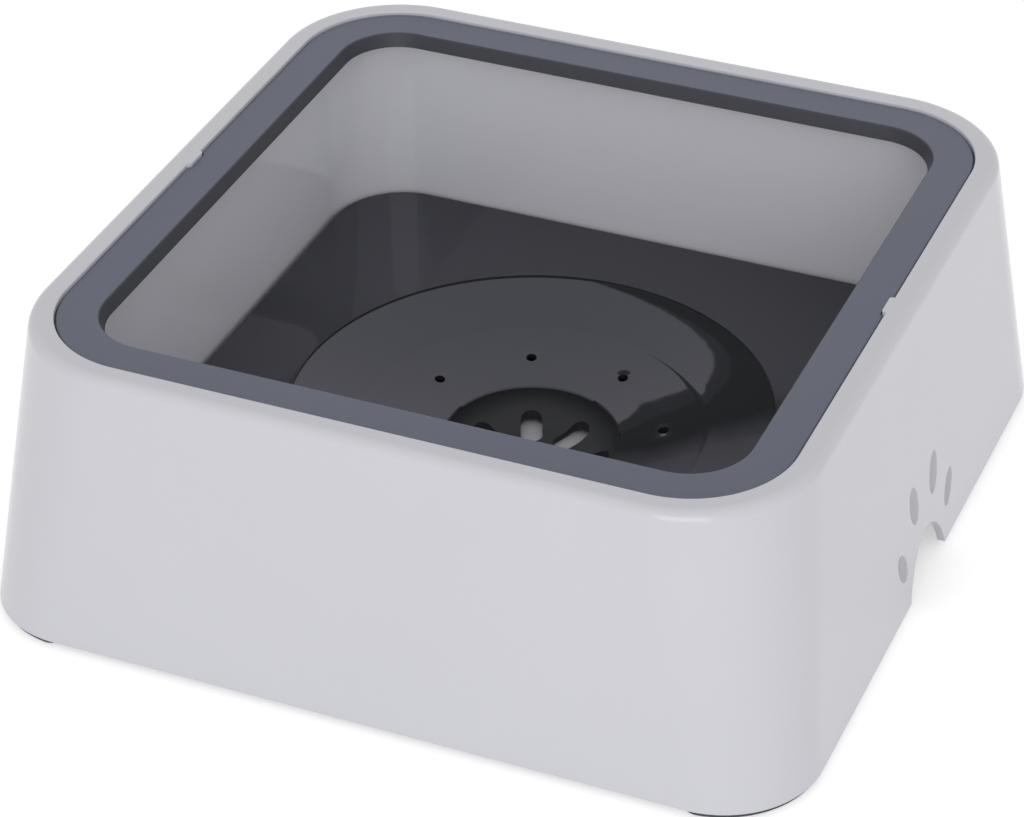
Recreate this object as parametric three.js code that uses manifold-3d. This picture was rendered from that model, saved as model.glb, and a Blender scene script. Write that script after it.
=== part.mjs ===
// Floating-plate water bowl for a dog: a tapered square shell on four corner feet, a basin that hangs in it,
// a splash ring dropped into the rim, and a hollow plate that floats on the water and meters it into a dish.
// Millimetres, +Z up. The origin is on the floor under the middle of the bowl, and the front faces -Y.
import * as THREE from "three";
import { mergeVertices } from "three/addons/utils/BufferGeometryUtils.js";
import Module from "manifold-3d";

const wasm = await Module();
wasm.setup();

// Shell: the white outer moulding
const baseWidth = 258.8;
const baseCornerRadius = 30.5;
const sideLean = 9.9; // each side leans in this much from the base up to the rim
const topCornerRadius = 39;
const bodyHeight = 91.7; // from the skirt's bottom edge to the top of the rim
const shellWall = 2.5;
const rimBand = 7.1; // the strip of rim that shows outside the splash ring
const rimEdgeRadius = 3;
const rimBreak = 0.5;
const ledgeThickness = 2.2;
const recessWall = 2.2; // stands between the ring's recess and the hollow behind the rim
const tongueLength = 8.5;
const tongueReach = 1.2;
const tongueCornerRadius = 1;
const gussetThickness = 1.6;
const gussetSpacing = 52;
const gussetKneeHeight = 34;
const gussetFootHeight = 10;
const gussetGap = 0.8; // between a gusset and the basin's wall

// Paw on the left and right sides: the pad is a finger hold through the skirt, the toes are shallow dimples
const padWidth = 33.6;
const padHeight = 16;
const toeLength = 14;
const toeWidth = 7.6;
const toeDepth = 1.2;
const toeBulge = 3; // depth of the ellipsoid that dents the wall
const padLowShares = [0.893, 0.468]; // of half the pad's width and of its height
const padHighShare = 0.476;
const toePlaces = [
  { acrossShare: 0.56, upShare: 1.89, sizeShare: 1, tilt: 12 },
  { acrossShare: 1.34, upShare: 1.04, sizeShare: 0.88, tilt: 28 },
];

// Basin: the white tub, which hangs by its flange from the shell's ledge
const basinInset = 7.5; // from the ring's opening out to the basin's wall
const basinDraft = 1.1; // each wall leans in this much towards the floor
const basinWall = 2.2;
const basinFloor = 2.2;
const basinFillet = 6;
const basinBreak = 1;
const flangeThickness = 2;
const groundClearance = 4.2;
const floorRibThickness = 1.6;
const floorRibDepth = 1.4;
const floorRibCircle = 60;
const floorRibHub = 12;
const floorRibInset = 12; // from the basin's wall in to the end of a rib
const floorRibCount = 8;

// Splash ring: the grey frame that lies in the rim and keeps the plate in
const ringFace = 12.4;
const ringThickness = 3;
const ringDrop = 1; // from the top of the rim down to the ring's face
const ringEdgeRadius = 0.6;
const ringLipDepth = 4.5;
const ringLipLean = 1.5;
const ringLipWall = 2;
const spigotWall = 1.8; // the rib underneath that centres the ring in the basin
const spigotRise = 0.5; // its lower edge is this much above the lip's

// Floating plate, upper half: a flat square flange round a dish, with a slotted pit in the middle
const floatHeight = 22.6;
const floatSideGap = 1;
const plateSkin = 1.8;
const plateEdgeRadius = 1.5;
const plateRimWall = 2;
const plateRimDepth = 8;
const dishRadius = 74.6;
const dishStep = 0.7;
const dishStepRun = 0.4;
const creaseRadius = 54.7;
const creaseDrop = 5.2;
const pitRimRadius = 26.6;
const pitRimDrop = 9.4;
const pitFloorRadius = 16.5;
const pitEdgeBreak = 0.4;
const slotCount = 8;
const slotWidth = 6.9;
const slotCornerRadius = 1.9;
const slotInnerRadius = 11;
const slotEndInset = 2; // from the pit's rim to the outer end of a slot
const ventRadius = 1.7;
const ventSinkRadius = 4.2;
const ventSinkDepth = 0.4;
const ventCircleShare = 0.509; // of the way from the pit's rim out to the crease

// Floating plate, lower half: the tray that closes the air chamber under the flange
const traySkin = 1.8;
const trayFillet = 6;
const trayBoreInset = 4.5; // from the dish's crease in to the tray's bore
const weldRibWall = 1.5;
const weldRibDepth = 4;

// Feet: grey rubber strips that follow the four corners
const footHeight = 2;
const footWidth = 9;
const footInset = 1;
const footSweep = 76; // degrees between the centres of the round ends
const footEdgeRadius = 0.5;
const webThickness = 2.5;
const webMargin = 2;
const pegCount = 3;
const pegSpacing = 27; // degrees
const pegInset = 1; // from the foot's centre line in to the pegs, clear of the sloping skirt
const pegRadius = 2;
const pegHeadRadius = 2.9;
const pegHeadHeight = 2.4;
const pegTipRadius = 1.4;

// Clearances
const restGap = 0.3; // under a piece that rests on another
const fitGap = 0.3; // beside a piece that is fixed in another
const ringGap = 0.4; // round the ring and the flange, inside the rim's recess
const hangGap = 0.5; // between the basin's wall and the edge of the ledge, and round the spigot

const overrun = 2; // how far a cutter passes the surface that it cuts
const embed = 0.6; // how far a rib or boss sinks into the wall that carries it
const sameVertex = 0.001; // vertices nearer than this are one

// Facets
const octantSteps = 7;
const cornerCrowding = 1.6;
const arcSteps = 3;
const pitSteps = 5;
const pitUndersideSteps = 3;
const breakSteps = 2;
const ventSides = 10;
const pegSides = 8;
const ribSides = 28;
const toeSides = 12;
const toeRings = 8;
const curveSteps = 4;
const padSteps = 7;

const quarterTurn = Math.PI / 2;
const radians = THREE.MathUtils.degToRad;
const lerp = THREE.MathUtils.lerp;

// Heights that follow from the sizes above
const skirtBottom = footHeight;
const rimTop = skirtBottom + bodyHeight;
const ringTop = rimTop - ringDrop;
const ringUnderside = ringTop - ringThickness;
const lipBottom = ringTop - ringLipDepth;
const flangeTop = ringUnderside - restGap;
const flangeBottom = flangeTop - flangeThickness;
const ledgeTop = flangeBottom - restGap;
const ledgeBottom = ledgeTop - ledgeThickness;
const basinFloorTop = groundClearance + basinFloor;
const floatBottom = basinFloorTop + restGap;
const plateTop = floatBottom + floatHeight;

// Half widths that follow from the sizes above, all measured on the middle of a side
const baseHalf = baseWidth / 2;
const topHalf = baseHalf - sideLean;
const recessHalf = topHalf - rimBand;
const ringHalf = recessHalf - ringGap;
const openingHalf = ringHalf - ringFace;
const basinHalf = openingHalf + basinInset;
const basinFloorHalf = basinHalf - basinDraft;
const basinOuterHalf = basinHalf + basinWall;
const ledgeHalf = basinOuterHalf + hangGap;
const plateHalf = basinFloorHalf - floatSideGap;
const trayHalf = plateHalf - plateRimWall - fitGap;
const trayBore = creaseRadius - trayBoreInset;

// Levels of a rounded square share one corner centre, so that walls keep their thickness.
const topCentre = topHalf - topCornerRadius;
const baseCentre = baseHalf - baseCornerRadius;

// Directions round the axis, crowded towards the corners
const directions = [];
for (let quadrant = 0; quadrant < 4; quadrant++) {
  for (let step = 0; step < 2 * octantSteps; step++) {
    const share = step / octantSteps - 1;
    const bent = Math.sign(share) * Math.abs(share) ** cornerCrowding;
    directions.push((quadrant + (1 + bent) / 2) * quarterTurn);
  }
}

// A level of a piece: half width, corner centre and height. With its corner centre at zero it is a circle.
function level(half, z, centre = topCentre) {
  return { half, centre: Math.min(centre, half), z };
}

function circle(radius, z) {
  return level(radius, z, 0);
}

// A point of the level's outline in the given direction
function outlinePoint({ half, centre, z }, direction) {
  const x = Math.cos(direction);
  const y = Math.sin(direction);
  const long = Math.max(Math.abs(x), Math.abs(y));
  const short = Math.min(Math.abs(x), Math.abs(y));
  const radius = half - centre;
  let reach = half / long;
  if (reach * short > centre) {
    const spread = centre * (long - short);
    reach = centre * (long + short) + Math.sqrt(radius * radius - spread * spread);
  }
  return [reach * x, reach * y, z];
}

// Sweeps a closed profile of levels round the axis. The profile climbs the outside and comes back inside;
// a level of no width is a pole.
function sweep(profile) {
  const positions = [];
  const faces = [];
  const rings = profile.map((at) => {
    const first = positions.length / 3;
    if (at.half === 0) {
      positions.push(0, 0, at.z);
      return directions.map(() => first);
    }
    directions.forEach((direction) => positions.push(...outlinePoint(at, direction)));
    return directions.map((_, i) => first + i);
  });
  rings.forEach((lower, k) => {
    const upper = rings[(k + 1) % rings.length];
    lower.forEach((a, i) => {
      const next = (i + 1) % lower.length;
      faces.push([a, lower[next], upper[next]], [a, upper[next], upper[i]]);
    });
  });
  const geometry = new THREE.BufferGeometry();
  geometry.setAttribute("position", new THREE.Float32BufferAttribute(positions, 3));
  geometry.setIndex(faces.flat());
  return solid(geometry);
}

// Levels along an arc of the profile, in degrees from straight outwards, round a half width and height
function arc(half, z, radius, from, to, steps = arcSteps) {
  const levels = [];
  for (let i = 0; i <= steps; i++) {
    const angle = radians(lerp(from, to, i / steps));
    levels.push(level(half + radius * Math.cos(angle), z + radius * Math.sin(angle)));
  }
  return levels;
}

// A closed geometry as a solid, without the slivers that a pole leaves, and with its faces outwards
function solid(geometry) {
  const bare = new THREE.BufferGeometry();
  bare.setAttribute("position", geometry.getAttribute("position"));
  if (geometry.index) bare.setIndex(geometry.index);
  const { index, attributes } = mergeVertices(bare, sameVertex);
  const corners = [];
  for (let i = 0; i < index.count; i += 3) {
    const [a, b, c] = [index.getX(i), index.getX(i + 1), index.getX(i + 2)];
    if (a !== b && b !== c && c !== a) corners.push([a, b, c]);
  }
  const make = (triangles) =>
    new wasm.Manifold(
      new wasm.Mesh({
        numProp: 3,
        vertProperties: attributes.position.array,
        triVerts: new Uint32Array(triangles.flat()),
      }),
    );
  const made = make(corners);
  return made.volume() < 0 ? make(corners.map(([a, b, c]) => [a, c, b])) : made;
}

// An outline in X and Y, raised from one height to another
function prism(shape, low, high, bevel = 0, steps = curveSteps) {
  const geometry = new THREE.ExtrudeGeometry(shape, {
    depth: high - low - 2 * bevel,
    curveSegments: steps,
    bevelEnabled: bevel > 0,
    bevelThickness: bevel,
    bevelSize: bevel,
    bevelOffset: -bevel,
    bevelSegments: 1,
  });
  geometry.translate(0, 0, low + bevel);
  return geometry;
}

// A turned piece, from points of radius and height that start and end on the axis
function turned(points, sides) {
  const geometry = new THREE.LatheGeometry(
    points.map(([radius, z]) => new THREE.Vector2(radius, z)),
    sides,
  );
  return geometry.rotateX(quarterTurn);
}

function cylinder(radius, low, high, sides) {
  return turned(
    [
      [0, low],
      [radius, low],
      [radius, high],
      [0, high],
    ],
    sides,
  );
}

function rectangle(left, front, right, back) {
  const shape = new THREE.Shape();
  shape.moveTo(left, front);
  shape.lineTo(right, front);
  shape.lineTo(right, back);
  shape.lineTo(left, back);
  return shape;
}

// A slot outline along X, with rounded corners
function slotShape(from, to, width, corner) {
  const side = width / 2 - corner;
  const shape = new THREE.Shape();
  shape.absarc(to - corner, -side, corner, -quarterTurn, 0);
  shape.absarc(to - corner, side, corner, 0, quarterTurn);
  shape.absarc(from + corner, side, corner, quarterTurn, 2 * quarterTurn);
  shape.absarc(from + corner, -side, corner, 2 * quarterTurn, 3 * quarterTurn);
  return shape;
}

// A strip that follows an arc round the origin, with round ends, the arc's middle on the X axis
function arcStrip(radius, width, sweepAngle) {
  const half = sweepAngle / 2;
  const end = width / 2;
  const x = radius * Math.cos(half);
  const y = radius * Math.sin(half);
  const shape = new THREE.Shape();
  shape.absarc(0, 0, radius + end, -half, half);
  shape.absarc(x, y, end, half, half + Math.PI);
  shape.absarc(0, 0, radius - end, half, -half, true);
  shape.absarc(x, -y, end, Math.PI - half, 2 * Math.PI - half);
  return shape;
}

// Calls make for each of count places round the axis, and turns what it makes there
function round(count, make, start = 0) {
  return Array.from({ length: count }, (_, i) =>
    make(i).rotateZ(start + (i * 2 * Math.PI) / count),
  );
}

function addAll(base, geometries) {
  return geometries.reduce((sum, geometry) => sum.add(solid(geometry)), base);
}

function cutAll(base, geometries) {
  return geometries.reduce((left, geometry) => left.subtract(solid(geometry)), base);
}

// Shell

// The skirt at a height, a horizontal distance in from its outer face
function skirt(z, inset = 0) {
  const share = (z - skirtBottom) / bodyHeight;
  return level(lerp(baseHalf, topHalf, share) - inset, z, lerp(baseCentre, topCentre, share));
}

const taper = Math.atan2(baseHalf - topHalf, bodyHeight);

function shellBody() {
  const edgeZ = rimTop - rimEdgeRadius;
  const edgeHalf = topHalf + rimEdgeRadius * (Math.tan(taper) - 1 / Math.cos(taper));
  const hollowTop = rimTop - shellWall;
  return sweep([
    skirt(skirtBottom),
    ...arc(edgeHalf, edgeZ, rimEdgeRadius, THREE.MathUtils.radToDeg(taper), 90),
    level(recessHalf + rimBreak, rimTop),
    level(recessHalf, rimTop - rimBreak),
    level(recessHalf, ledgeTop),
    level(ledgeHalf, ledgeTop),
    level(ledgeHalf, ledgeBottom),
    level(recessHalf + recessWall, ledgeBottom),
    level(recessHalf + recessWall, hollowTop),
    skirt(hollowTop, shellWall),
    skirt(skirtBottom, shellWall),
  ]);
}

// A rounded tongue of the rim that reaches into the ring's notch, or the notch itself when it grows by a gap
function tongueShape(gap = 0) {
  const tip = recessHalf - tongueReach - gap;
  const half = tongueLength / 2 + gap;
  const corner = tongueCornerRadius;
  const shape = new THREE.Shape();
  shape.moveTo(recessHalf + embed, -half);
  shape.lineTo(recessHalf + embed, half);
  shape.lineTo(tip + corner, half);
  shape.absarc(tip + corner, half - corner, corner, quarterTurn, 2 * quarterTurn);
  shape.absarc(tip + corner, -half + corner, corner, 2 * quarterTurn, 3 * quarterTurn);
  return shape;
}

function tongues() {
  return round(2, () => prism(tongueShape(), flangeTop + restGap, rimTop));
}

// A stiffener between the ledge and the skirt, square to a side and a distance along it
function gusset(along) {
  const top = ledgeBottom + embed;
  const inner = basinOuterHalf + gussetGap;
  const shape = new THREE.Shape();
  shape.moveTo(inner, top);
  shape.lineTo(skirt(top, shellWall - embed).half, top);
  shape.lineTo(skirt(gussetFootHeight, shellWall - embed).half, gussetFootHeight);
  shape.lineTo(inner, gussetKneeHeight);
  const plate = prism(shape, along - gussetThickness / 2, along + gussetThickness / 2);
  return plate.rotateX(quarterTurn).scale(1, -1, 1);
}

function gussets() {
  const beside = [-gussetSpacing, gussetSpacing];
  const across = [-gussetSpacing, 0, gussetSpacing];
  return [
    ...beside.flatMap((along) => round(2, () => gusset(along))),
    ...across.flatMap((along) => round(2, () => gusset(along), quarterTurn)),
  ];
}

const footRadius = baseCornerRadius - footInset - footWidth / 2; // of the foot's centre line

function atCorner(geometry, corner) {
  const turn = (corner + 1 / 2) * quarterTurn;
  geometry.rotateZ(turn);
  return geometry.translate(
    Math.sign(Math.cos(turn)) * baseCentre,
    Math.sign(Math.sin(turn)) * baseCentre,
    0,
  );
}

const pegAngles = Array.from({ length: pegCount }, (_, i) =>
  radians((i - (pegCount - 1) / 2) * pegSpacing),
);

function atPeg(geometry, angle) {
  const radius = footRadius - pegInset;
  return geometry.translate(radius * Math.cos(angle), radius * Math.sin(angle), 0);
}

// The shelf inside a corner of the skirt that carries a foot
function footWeb() {
  const outer = baseCornerRadius - shellWall / 2;
  const inner = footRadius - footWidth / 2 - webMargin;
  const reach = radians(footSweep);
  return prism(
    arcStrip((outer + inner) / 2, outer - inner, reach),
    skirtBottom,
    skirtBottom + webThickness,
  );
}

function padCutter() {
  const half = padWidth / 2;
  const lowAcross = half * padLowShares[0];
  const lowUp = padHeight * padLowShares[1];
  const highAcross = half * padHighShare;
  const shape = new THREE.Shape();
  shape.moveTo(half, -overrun);
  shape.lineTo(half, 0);
  shape.bezierCurveTo(lowAcross, lowUp, highAcross, padHeight, 0, padHeight);
  shape.bezierCurveTo(-highAcross, padHeight, -lowAcross, lowUp, -half, 0);
  shape.lineTo(-half, -overrun);
  const inside = baseHalf - 2 * (shellWall + overrun);
  const cutter = prism(shape, inside, baseHalf + overrun, 0, padSteps);
  const sideways = new THREE.Matrix4().makeBasis(
    new THREE.Vector3(0, 1, 0),
    new THREE.Vector3(0, 0, 1),
    new THREE.Vector3(1, 0, 0),
  );
  return cutter.applyMatrix4(sideways).translate(0, 0, skirtBottom);
}

function toeCutter({ acrossShare, upShare, sizeShare, tilt }, side) {
  const out = toeBulge - toeDepth;
  const widening = Math.sqrt(1 - (out / toeBulge) ** 2);
  const z = skirtBottom + padHeight * upShare;
  const toe = new THREE.SphereGeometry(1, toeSides, toeRings);
  toe.rotateX(quarterTurn);
  toe.scale(
    toeBulge,
    (toeWidth * sizeShare) / 2 / widening,
    (toeLength * sizeShare) / 2 / widening,
  );
  toe.rotateX(-side * radians(tilt));
  toe.rotateY(-taper);
  return toe.translate(skirt(z).half + out, (side * padWidth * acrossShare) / 2, z);
}

function pawCutters() {
  const toes = [-1, 1].flatMap((side) =>
    toePlaces.flatMap((place) => round(2, () => toeCutter(place, side))),
  );
  return [...round(2, padCutter), ...toes];
}

function outerShell() {
  const corners = [0, 1, 2, 3];
  const webs = corners.map((corner) => atCorner(footWeb(), corner));
  const whole = addAll(shellBody(), [...tongues(), ...gussets(), ...webs]);
  const pegHoles = corners.flatMap((corner) =>
    pegAngles.map((angle) => {
      const top = skirtBottom + webThickness + overrun;
      const hole = cylinder(pegRadius + fitGap, skirtBottom - overrun, top, pegSides);
      return atCorner(atPeg(hole, angle), corner);
    }),
  );
  return cutAll(whole, [...pawCutters(), ...pegHoles]);
}

// Basin

function basinBody() {
  const filletZ = basinFloorTop + basinFillet;
  const outerFillet = basinFillet + basinFloor;
  return sweep([
    circle(0, groundClearance),
    ...arc(basinFloorHalf - basinFillet, filletZ, outerFillet, -90, 0).slice(0, -1),
    level(basinFloorHalf + basinWall, filletZ),
    level(basinOuterHalf, flangeBottom),
    level(ringHalf, flangeBottom),
    level(ringHalf, flangeTop),
    ...arc(basinHalf + basinBreak, flangeTop - basinBreak, basinBreak, 90, 180, breakSteps),
    ...arc(basinFloorHalf - basinFillet, filletZ, basinFillet, 0, -90),
    circle(0, basinFloorTop),
  ]);
}

function floorRibs() {
  const low = groundClearance - floorRibDepth;
  const high = groundClearance + embed;
  const half = floorRibThickness / 2;
  const reach = basinFloorHalf - floorRibInset;
  const hoop = turned(
    [
      [floorRibCircle - half, low],
      [floorRibCircle + half, low],
      [floorRibCircle + half, high],
      [floorRibCircle - half, high],
      [floorRibCircle - half, low],
    ],
    ribSides,
  );
  const spokes = round(floorRibCount, () =>
    prism(rectangle(floorRibHub - floorRibThickness, -half, reach, half), low, high),
  );
  return [hoop, cylinder(floorRibHub, low, high, ribSides), ...spokes];
}

function waterBasin() {
  return addAll(basinBody(), floorRibs());
}

// Splash ring

function splashRing() {
  const edge = ringEdgeRadius;
  const spigotHalf = basinHalf - hangGap;
  const spigotBottom = lipBottom + spigotRise;
  const lipHalf = openingHalf - ringLipLean;
  const body = sweep([
    level(spigotHalf, spigotBottom),
    level(spigotHalf, ringUnderside),
    level(ringHalf, ringUnderside),
    ...arc(ringHalf - edge, ringTop - edge, edge, 0, 90),
    ...arc(openingHalf + edge, ringTop - edge, edge, 90, 180, breakSteps),
    level(lipHalf, lipBottom),
    level(lipHalf + ringLipWall, lipBottom),
    level(openingHalf + ringLipWall, ringUnderside),
    level(spigotHalf - spigotWall, ringUnderside),
    level(spigotHalf - spigotWall, spigotBottom),
  ]);
  const notches = round(2, () => prism(tongueShape(ringGap), ringUnderside - overrun, ringTop + overrun));
  return cutAll(body, notches);
}

// Floating plate

const dishEdge = plateTop - dishStep;
const crease = plateTop - creaseDrop;
const pitRim = plateTop - pitRimDrop;
const pitFloor = floatBottom + plateSkin;

// The dish's surface at a radius, between the pit's rim and the dish's edge
function dishHeight(radius) {
  if (radius < creaseRadius) {
    return lerp(pitRim, crease, (radius - pitRimRadius) / (creaseRadius - pitRimRadius));
  }
  const edge = dishRadius - dishStepRun;
  return lerp(crease, dishEdge, (radius - creaseRadius) / (edge - creaseRadius));
}

// The pit's wall curves from upright at its rim to level at its floor.
function pitWall(rimRadius, rimZ, floorZ, steps) {
  const floorRadius = pitFloorRadius + rimRadius - pitRimRadius;
  const levels = [];
  for (let i = 0; i <= steps; i++) {
    const angle = (i / steps) * quarterTurn;
    levels.push(
      circle(
        floorRadius + (rimRadius - floorRadius) * Math.cos(angle),
        lerp(rimZ, floorZ, Math.sin(angle)),
      ),
    );
  }
  return levels;
}

function plateBody() {
  const rimBottom = plateTop - plateRimDepth;
  const rimInner = plateHalf - plateRimWall;
  const flangeUnderside = plateTop - plateSkin;
  const underside = (radius) => circle(radius, dishHeight(radius) - plateSkin);
  const ribInner = trayBore + traySkin + fitGap;
  const ribOuter = ribInner + weldRibWall;
  const ribBottom = dishHeight(ribInner) - plateSkin - weldRibDepth;
  const pitTop = pitRim - pitEdgeBreak;
  const pitEdge = pitRimRadius + pitEdgeBreak;
  return sweep([
    level(plateHalf, rimBottom),
    ...arc(plateHalf - plateEdgeRadius, plateTop - plateEdgeRadius, plateEdgeRadius, 0, 90),
    circle(dishRadius, plateTop),
    circle(dishRadius - dishStepRun, dishEdge),
    circle(creaseRadius, crease),
    circle(pitEdge, dishHeight(pitEdge)),
    ...pitWall(pitRimRadius, pitTop, pitFloor, pitSteps),
    circle(0, pitFloor),
    circle(0, floatBottom),
    ...pitWall(pitRimRadius + plateSkin, pitRim - plateSkin, floatBottom, pitUndersideSteps).reverse(),
    underside(ribInner),
    circle(ribInner, ribBottom),
    circle(ribOuter, ribBottom),
    underside(ribOuter),
    underside(creaseRadius),
    circle(dishRadius + plateSkin, flangeUnderside),
    level(rimInner, flangeUnderside),
    level(rimInner, rimBottom),
  ]);
}

function slots() {
  const outer = pitRimRadius - slotEndInset;
  const shape = () => slotShape(slotInnerRadius, outer, slotWidth, slotCornerRadius);
  const slot = () => prism(shape(), floatBottom - overrun, plateTop, 0, arcSteps);
  return round(slotCount, slot, Math.PI / slotCount);
}

// Each vent is a round hole in a broad dimple, square to the slope of the dish.
function vents() {
  const distance = lerp(pitRimRadius, creaseRadius, ventCircleShare);
  const slope = Math.atan2(crease - pitRim, creaseRadius - pitRimRadius);
  const vent = () =>
    turned(
      [
        [0, -plateSkin - overrun],
        [ventRadius, -plateSkin - overrun],
        [ventRadius, -ventSinkDepth],
        [ventSinkRadius, 0],
        [ventSinkRadius, overrun],
        [0, overrun],
      ],
      ventSides,
    )
      .rotateY(-slope)
      .translate(distance, 0, dishHeight(distance));
  return round(slotCount, vent, Math.PI / slotCount);
}

function floatPlate() {
  return cutAll(plateBody(), [...slots(), ...vents()]);
}

function floatTray() {
  const wallTop = plateTop - plateSkin - fitGap;
  const boreTop = dishHeight(trayBore) - plateSkin - fitGap;
  const floorTop = floatBottom + traySkin;
  const filletZ = floatBottom + trayFillet;
  const inner = trayFillet - traySkin;
  return sweep([
    circle(trayBore, floatBottom),
    ...arc(trayHalf - trayFillet, filletZ, trayFillet, -90, 0),
    level(trayHalf, wallTop),
    level(trayHalf - traySkin, wallTop),
    ...arc(trayHalf - trayFillet, filletZ, inner, 0, -90),
    circle(trayBore + traySkin, floorTop),
    circle(trayBore + traySkin, boreTop),
    circle(trayBore, boreTop),
  ]);
}

// Feet

function peg() {
  const seat = footHeight - restGap;
  const headBottom = skirtBottom + webThickness + restGap;
  return turned(
    [
      [0, seat - embed],
      [pegRadius, seat - embed],
      [pegRadius, headBottom],
      [pegHeadRadius, headBottom],
      [pegTipRadius, headBottom + pegHeadHeight],
      [0, headBottom + pegHeadHeight],
    ],
    pegSides,
  );
}

function foot(corner) {
  const strip = prism(
    arcStrip(footRadius, footWidth, radians(footSweep)),
    0,
    footHeight - restGap,
    footEdgeRadius,
  );
  const pegs = pegAngles.map((angle) => atCorner(atPeg(peg(), angle), corner));
  return addAll(solid(atCorner(strip, corner)), pegs);
}

// Finishes
const whitePlastic = { color: 0xd9d9df, roughness: 0.32, metalness: 0 };
const basinPlastic = { color: 0xd2d2d6, roughness: 0.3, metalness: 0 };
const ringPlastic = { color: 0x6a6f78, roughness: 0.5, metalness: 0 };
const platePlastic = { color: 0x46484d, roughness: 0.18, metalness: 0 };
const rubber = { color: 0x4a4b50, roughness: 0.8, metalness: 0 };

function mesh(name, made, finish) {
  const { vertProperties, triVerts } = made.getMesh();
  const geometry = new THREE.BufferGeometry();
  geometry.setAttribute("position", new THREE.BufferAttribute(vertProperties, 3));
  geometry.setIndex(new THREE.BufferAttribute(triVerts, 1));
  const flat = geometry.toNonIndexed();
  flat.computeVertexNormals();
  const part = new THREE.Mesh(flat, new THREE.MeshStandardMaterial(finish));
  part.name = name;
  return part;
}

const bowl = new THREE.Group();
bowl.add(mesh("outer_shell", outerShell(), whitePlastic));
bowl.add(mesh("water_basin", waterBasin(), basinPlastic));
["rear_right", "rear_left", "front_left", "front_right"].forEach((place, corner) => {
  bowl.add(mesh("foot_" + place, foot(corner), rubber));
});

// The ring lifts off, and the plate rises with the water until it meets the ring's lip.
const ringGroup = new THREE.Group();
ringGroup.add(mesh("splash_ring", splashRing(), ringPlastic));
const floatGroup = new THREE.Group();
floatGroup.add(mesh("float_plate", floatPlate(), platePlastic));
floatGroup.add(mesh("float_tray", floatTray(), platePlastic));
bowl.add(ringGroup, floatGroup);

export default bowl;
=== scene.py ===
"""A square water bowl for a dog, with a floating plate that keeps the water from spilling.

White shell and basin, grey splash ring, dark floating plate and rubber feet, on a white floor.
Every size is in metres. X points right, Y to the back and Z up from the floor.
"""

import math

import bmesh
import bpy
from mathutils import Matrix, Vector


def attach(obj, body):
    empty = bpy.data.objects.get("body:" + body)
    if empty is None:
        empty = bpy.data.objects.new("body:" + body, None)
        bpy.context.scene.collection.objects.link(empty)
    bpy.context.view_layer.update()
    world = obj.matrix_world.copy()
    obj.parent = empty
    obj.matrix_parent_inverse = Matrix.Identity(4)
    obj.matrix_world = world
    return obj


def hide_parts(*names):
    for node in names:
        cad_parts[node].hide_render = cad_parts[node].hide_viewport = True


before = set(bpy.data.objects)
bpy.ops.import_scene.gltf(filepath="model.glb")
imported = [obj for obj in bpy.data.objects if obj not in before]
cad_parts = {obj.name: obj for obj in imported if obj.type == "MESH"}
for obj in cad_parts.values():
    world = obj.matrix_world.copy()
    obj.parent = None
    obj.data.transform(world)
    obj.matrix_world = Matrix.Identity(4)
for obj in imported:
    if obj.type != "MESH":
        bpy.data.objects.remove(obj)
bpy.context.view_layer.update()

MM = 0.001
SAME = 0.02 * MM  # points nearer than this count as in one place
SEAM = 0.2 * MM  # outlines nearer than this are welded where two walls meet
TURN = 2 * math.pi

# Shell
BASE_HALF = 129.4 * MM
BASE_RADIUS = 30.5 * MM
TOP_HALF = 119.5 * MM
TOP_RADIUS = 39 * MM
SKIRT_BOTTOM = 2 * MM
RIM_TOP = 93.7 * MM
SHELL_WALL = 2.5 * MM
RIM_FILLET = 3 * MM
RIM_BREAK = 0.5 * MM
RECESS_HALF = 112.4 * MM
RECESS_WALL = 2.2 * MM
LEDGE_TOP = 87.1 * MM
LEDGE_BOTTOM = 84.9 * MM
LEDGE_HALF = 109.8 * MM
TONGUE_LENGTH = 8.5 * MM
TONGUE_REACH = 1.2 * MM
TONGUE_BOTTOM = 89.7 * MM
TONGUE_CORNER = 1 * MM
GUSSET_THICKNESS = 1.6 * MM
GUSSET_SPACING = 52 * MM
GUSSET_INNER = 110.1 * MM
GUSSET_KNEE = 34 * MM
GUSSET_FOOT = 10 * MM
EMBED = 0.6 * MM
PAD_HALF = 16.8 * MM
PAD_HEIGHT = 16 * MM
PAD_LOW = (0.893, 0.468)  # handle of the pad's outline, as shares of its half width and height
PAD_HIGH = 0.476
TOE_LENGTH = 14 * MM
TOE_WIDTH = 7.6 * MM
TOE_DEPTH = 1.2 * MM
TOE_BULGE = 3 * MM
TOES = ((0.56, 1.89, 1, 12), (1.34, 1.04, 0.88, 28))  # across, up, size as shares, tilt in degrees

# Basin
FLANGE_HALF = 112 * MM
FLANGE_TOP = 89.4 * MM
FLANGE_BOTTOM = 87.4 * MM
BASIN_HALF = 107.1 * MM
BASIN_OUTER_HALF = 109.3 * MM
BASIN_DRAFT = 1.1 * MM
BASIN_FLOOR = 6.4 * MM
BASIN_UNDERSIDE = 4.2 * MM
BASIN_FILLET = 6 * MM
BASIN_OUTER_FILLET = 8.2 * MM
BASIN_BREAK = 1 * MM
RIB_DEPTH = 1.4 * MM
RIB_WIDTH = 1.6 * MM
RIB_CIRCLE = 60 * MM
RIB_HUB = 12 * MM
RIB_REACH = 94 * MM

# Splash ring
RING_TOP = 92.7 * MM
RING_UNDERSIDE = 89.7 * MM
RING_FACE = 12.4 * MM
RING_EDGE = 0.6 * MM
RING_GAP = 0.4 * MM
LIP_BOTTOM = 88.2 * MM
LIP_LEAN = 1.5 * MM
LIP_WALL = 2 * MM
SPIGOT_HALF = 106.6 * MM
SPIGOT_WALL = 1.8 * MM
SPIGOT_BOTTOM = 88.7 * MM

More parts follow.
